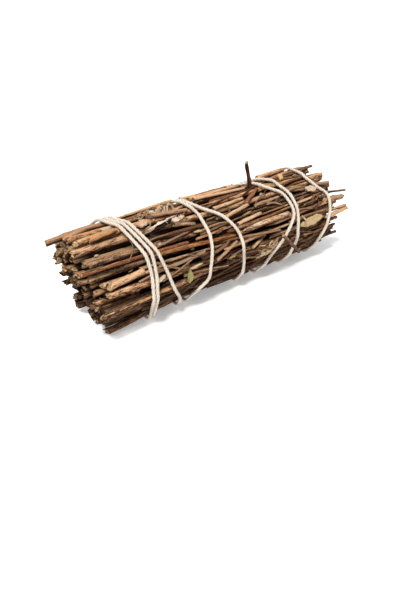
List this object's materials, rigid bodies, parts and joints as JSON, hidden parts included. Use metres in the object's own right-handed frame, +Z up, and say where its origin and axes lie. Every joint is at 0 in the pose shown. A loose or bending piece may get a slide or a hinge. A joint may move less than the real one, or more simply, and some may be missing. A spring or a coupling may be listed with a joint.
{
  "type": "herb smudge stick",
  "caption": "Smudge stick: a bundle of dry woody sage twigs, cut level at one end and ragged at the other, bound with spiral turns of cotton twine.",
  "frame": {"origin": "on the surface that the bundle lies on, under the middle of its bounding box", "axes": "+X along the twigs from their cut butts to their ragged tips, +Z up, +Y away from the side that the picture shows"},
  "size_m": [0.1278, 0.0426, 0.0456],
  "materials": {
    "grey_bark": "dry furrowed bark",
    "brown_bark": "dry furrowed bark",
    "dark_bark": "dry furrowed bark",
    "orange_bark": "dry bark, part peeled",
    "red_bark": "dry bark",
    "cut_wood": "fresh cut wood ends with dark pith",
    "pale_wood": "torn pale wood fibres",
    "cotton": "twisted cotton plies, matt",
    "dry_leaf": "dry leaf, matt",
    "green_leaf": "dry leaf, matt"
  },
  "bodies": {
    "root": {"back_leaf": "dry_leaf", "bark_flake": "pale_wood", "bark_strip": "pale_wood", "cross_twig": "dark_bark", "forked_twig": "red_bark", "inner_twigs": "cut_wood", "low_leaf": "dry_leaf", "orange_twig": "orange_bark", "outer_twig_01": "grey_bark", "outer_twig_02": "brown_bark", "outer_twig_03": "dark_bark", "outer_twig_04": "grey_bark", "outer_twig_05": "brown_bark", "outer_twig_06": "dark_bark", "outer_twig_07": "grey_bark", "outer_twig_08": "brown_bark", "outer_twig_09": "dark_bark", "outer_twig_10": "grey_bark", "outer_twig_11": "brown_bark", "outer_twig_12": "dark_bark", "outer_twig_13": "grey_bark", "outer_twig_14": "brown_bark", "outer_twig_15": "dark_bark", "outer_twig_16": "grey_bark", "outer_twig_17": "brown_bark", "outer_twig_18": "dark_bark", "outer_twig_19": "grey_bark", "outer_twig_20": "brown_bark", "outer_twig_21": "dark_bark", "outer_twig_22": "grey_bark", "outer_twig_23": "brown_bark", "outer_twig_24": "dark_bark", "outer_twig_25": "grey_bark", "outer_twig_26": "brown_bark", "outer_twig_27": "dark_bark", "outer_twig_28": "grey_bark", "outer_twig_29": "brown_bark", "outer_twig_30": "dark_bark", "outer_twig_31": "grey_bark", "outer_twig_32": "brown_bark", "outer_twig_33": "dark_bark", "outer_twig_34": "grey_bark", "oval_leaf": "dry_leaf", "pointed_leaf": "green_leaf", "red_twig": "red_bark", "surface_twig_01": "brown_bark", "surface_twig_02": "dark_bark", "surface_twig_03": "grey_bark", "surface_twig_04": "brown_bark", "surface_twig_05": "dark_bark", "surface_twig_06": "grey_bark", "surface_twig_07": "brown_bark", "surface_twig_08": "dark_bark", "surface_twig_09": "grey_bark", "surface_twig_10": "brown_bark", "surface_twig_11": "dark_bark", "surface_twig_12": "grey_bark", "tip_flake": "pale_wood", "twine": "cotton", "wood_chip": "pale_wood"}
  },
  "joints": []
}
